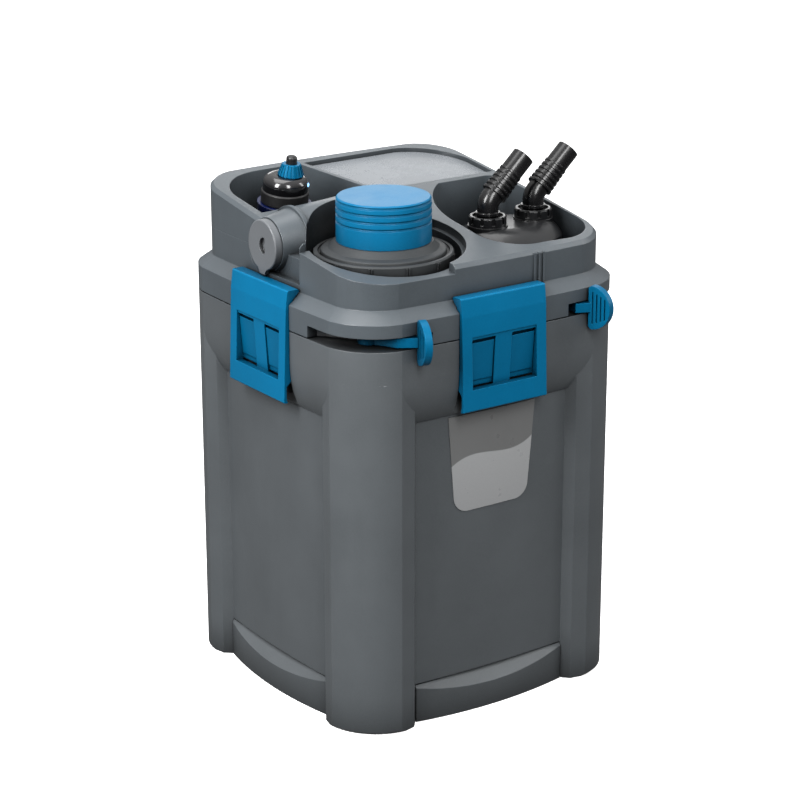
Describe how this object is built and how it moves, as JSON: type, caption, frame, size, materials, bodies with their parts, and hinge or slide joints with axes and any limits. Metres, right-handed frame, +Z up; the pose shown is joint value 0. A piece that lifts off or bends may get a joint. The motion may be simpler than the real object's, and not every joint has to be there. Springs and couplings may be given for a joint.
{
  "type": "canister water filter",
  "caption": "Square canister water filter with a pumped head, lift-out prefilter, inline heater, swivelling hose elbows, side clips and release levers.",
  "frame": {"origin": "on the resting plane, under the middle of the canister", "axes": "+Z up along the canister, -Y to the front panel with the label, +X to the hose side"},
  "size_m": [0.2374, 0.2503, 0.3677],
  "materials": {
    "shell_plastic": "satin bluish grey",
    "head_plastic": "satin bluish grey",
    "lid_plastic": "satin light grey",
    "cap_plastic": "satin grey",
    "clip_plastic": "satin blue",
    "link_plastic": "satin blue",
    "lever_plastic": "satin blue",
    "prefilter_cap_plastic": "satin blue",
    "lock_ring_plastic": "satin bluish grey",
    "cage_plastic": "black, moulded",
    "sponge": "open-cell foam",
    "filter_foam": "open-cell foam",
    "tray_plastic": "moulded grey",
    "heater_socket_plastic": "dark blue",
    "heater_band_plastic": "matte black",
    "heater_dome_plastic": "glossy black",
    "heater_glass": "clear glass",
    "thermostat_plastic": "satin blue",
    "tip_plastic": "black",
    "adapter_plastic": "glossy black",
    "collar_plastic": "glossy black",
    "elbow_plastic": "glossy black",
    "rubber": "black",
    "gland_plastic": "black",
    "steel": "bright",
    "ceramic_shaft": "white ceramic",
    "impeller_plastic": "blue",
    "magnet": "ferrite black",
    "coil_resin": "potting resin",
    "label_film": "printed film"
  },
  "bodies": {
    "canister": {"canister_shell": "shell_plastic", "base_plinth": "shell_plastic", "rubber_feet": "rubber", "filter_tray_lower": "tray_plastic", "filter_tray_middle": "tray_plastic", "filter_tray_upper": "tray_plastic", "filter_foam_lower": "filter_foam", "filter_foam_middle": "filter_foam", "filter_foam_upper": "filter_foam", "head_gasket": "rubber", "head_casting": "head_plastic", "head_cover": "head_plastic", "back_lid": "lid_plastic", "motor_coil": "coil_resin", "pump_shaft": "ceramic_shaft", "shaft_bushes": "rubber", "heater_socket": "heater_socket_plastic", "heater_tube": "heater_glass", "heater_band": "heater_band_plastic", "heater_dome": "heater_dome_plastic", "heater_tip": "tip_plastic", "hose_adapter": "adapter_plastic", "hose_collar_inlet": "collar_plastic", "hose_collar_outlet": "collar_plastic", "clip_pins": "steel", "lever_pins": "steel", "front_label": "label_film", "cable_glands": "gland_plastic", "cover_screws": "steel"},
    "impeller_cover": {"impeller_cap": "cap_plastic", "impeller_cap_seal": "rubber"},
    "impeller": {"impeller_wheel": "impeller_plastic", "impeller_rotor": "magnet"},
    "prefilter_cartridge": {"prefilter_cage": "cage_plastic", "prefilter_core_tube": "cage_plastic", "prefilter_sponge": "sponge"},
    "prefilter_closure": {"prefilter_cap": "prefilter_cap_plastic", "prefilter_lock_ring": "lock_ring_plastic"},
    "thermostat": {"thermostat_ring": "thermostat_plastic"},
    "elbow_inlet": {"hose_elbow_inlet": "elbow_plastic"},
    "elbow_outlet": {"hose_elbow_outlet": "elbow_plastic"},
    "lever_left": {"release_lever_left": "lever_plastic"},
    "lever_right": {"release_lever_right": "lever_plastic"},
    "clip_front": {"clip_plate_front": "clip_plastic", "clip_link_front": "link_plastic"},
    "clip_right": {"clip_plate_right": "clip_plastic", "clip_link_right": "link_plastic"},
    "clip_back": {"clip_plate_back": "clip_plastic", "clip_link_back": "link_plastic"},
    "clip_left": {"clip_plate_left": "clip_plastic", "clip_link_left": "link_plastic"}
  },
  "joints": [
    {"name": "prefilter_lift", "type": "slide", "parent": "canister", "child": "prefilter_cartridge", "axis": [0, 0, 1], "range_m": [0, 0.285]},
    {"name": "prefilter_turn", "type": "hinge", "parent": "prefilter_cartridge", "child": "prefilter_closure", "pos_m": [-0.0475, -0.047, 0.31], "axis": [0, 0, 1], "range_deg": [-35, 0]},
    {"name": "thermostat_turn", "type": "hinge", "parent": "canister", "child": "thermostat", "pos_m": [-0.0574, 0.05272, 0.33075], "axis": [0, -0.1392, 0.9903], "range_deg": [-135, 135]},
    {"name": "impeller_cap_turn", "type": "hinge", "parent": "canister", "child": "impeller_cover", "pos_m": [-0.103, 0.0065, 0.3165], "axis": [1, 0, 0], "range_deg": [0, 60]},
    {"name": "impeller_spin", "type": "hinge", "parent": "canister", "child": "impeller", "pos_m": [-0.09, 0.0065, 0.3165], "axis": [1, 0, 0], "continuous": true},
    {"name": "elbow_inlet_swivel", "type": "hinge", "parent": "canister", "child": "elbow_inlet", "pos_m": [0.0426, -0.0405, 0.32], "axis": [0, 0, 1], "range_deg": [-60, 60]},
    {"name": "elbow_outlet_swivel", "type": "hinge", "parent": "canister", "child": "elbow_outlet", "pos_m": [0.0815, -0.0405, 0.32], "axis": [0, 0, 1], "range_deg": [-60, 60]},
    {"name": "lever_left_swing", "type": "hinge", "parent": "canister", "child": "lever_left", "pos_m": [-0.088, -0.088, 0.273], "axis": [0, 0, 1], "range_deg": [-75, 0]},
    {"name": "lever_right_swing", "type": "hinge", "parent": "canister", "child": "lever_right", "pos_m": [0.088, -0.088, 0.273], "axis": [0, 0, 1], "range_deg": [0, 75]},
    {"name": "clip_front_open", "type": "hinge", "parent": "canister", "child": "clip_front", "pos_m": [0, -0.1133, 0.226], "axis": [1, 0, 0], "range_deg": [0, 60]},
    {"name": "clip_right_open", "type": "hinge", "parent": "canister", "child": "clip_right", "pos_m": [0.1133, 0, 0.226], "axis": [0, 1, 0], "range_deg": [0, 60]},
    {"name": "clip_back_open", "type": "hinge", "parent": "canister", "child": "clip_back", "pos_m": [0, 0.1133, 0.226], "axis": [-1, 0, 0], "range_deg": [0, 60]},
    {"name": "clip_left_open", "type": "hinge", "parent": "canister", "child": "clip_left", "pos_m": [-0.1133, 0, 0.226], "axis": [0, -1, 0], "range_deg": [0, 60]}
  ]
}
